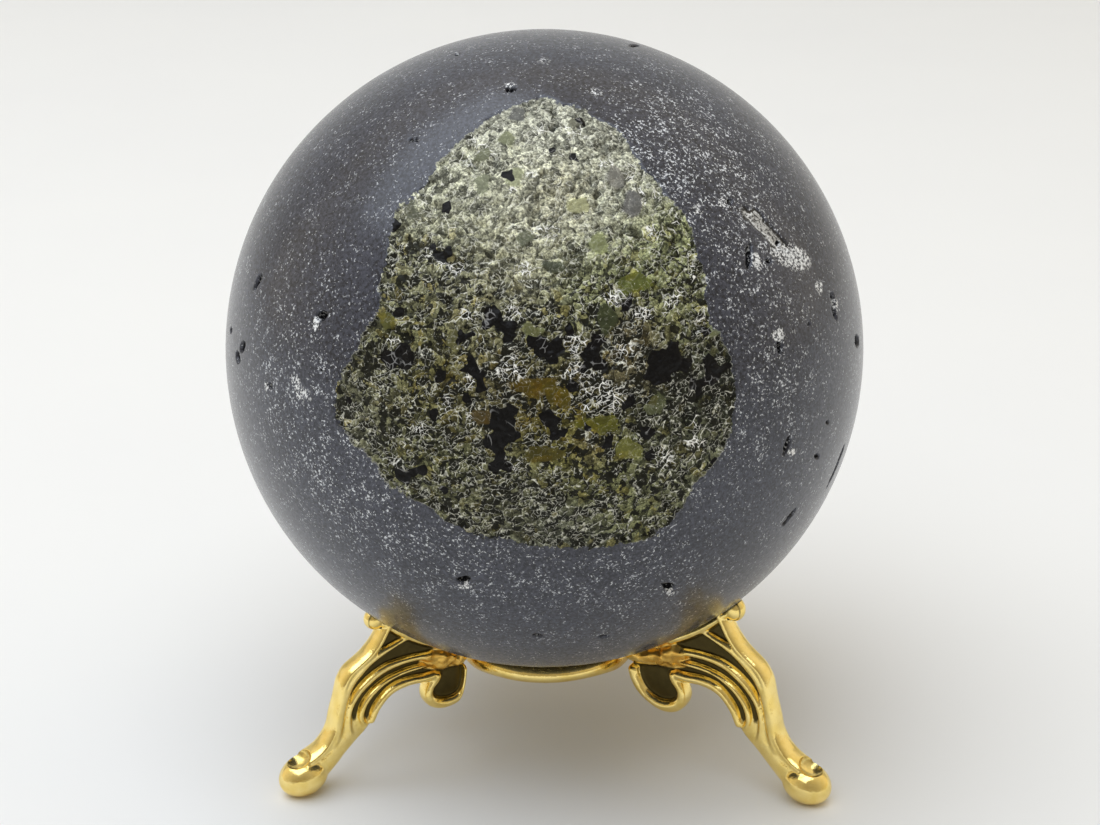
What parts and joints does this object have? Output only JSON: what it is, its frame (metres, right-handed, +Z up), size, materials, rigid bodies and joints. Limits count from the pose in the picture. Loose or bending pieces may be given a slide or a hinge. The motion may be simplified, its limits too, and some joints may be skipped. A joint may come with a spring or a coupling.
{
  "type": "polished peridotite xenolith sphere on stand",
  "caption": "Polished ball of dark basalt with a patch of green peridotite in its face, resting on a gilt wire ring carried by scrolled legs.",
  "frame": {"origin": "on the table, under the middle of the ring and of the ball", "axes": "+Z up; -Y is the front, where the peridotite shows and two of the legs stand; +X to the right seen from the front"},
  "size_m": [0.07, 0.07, 0.0817],
  "materials": {
    "stone": "polished dark blue-grey basalt with a sugary grey-green peridotite patch",
    "gilt": "bright gold plating over cast metal"
  },
  "bodies": {
    "root": {"peridotite_sphere": "stone", "stand_ring": "gilt", "stand_leg_front_right": "gilt", "stand_leg_front_left": "gilt", "stand_leg_back": "gilt"}
  },
  "joints": []
}
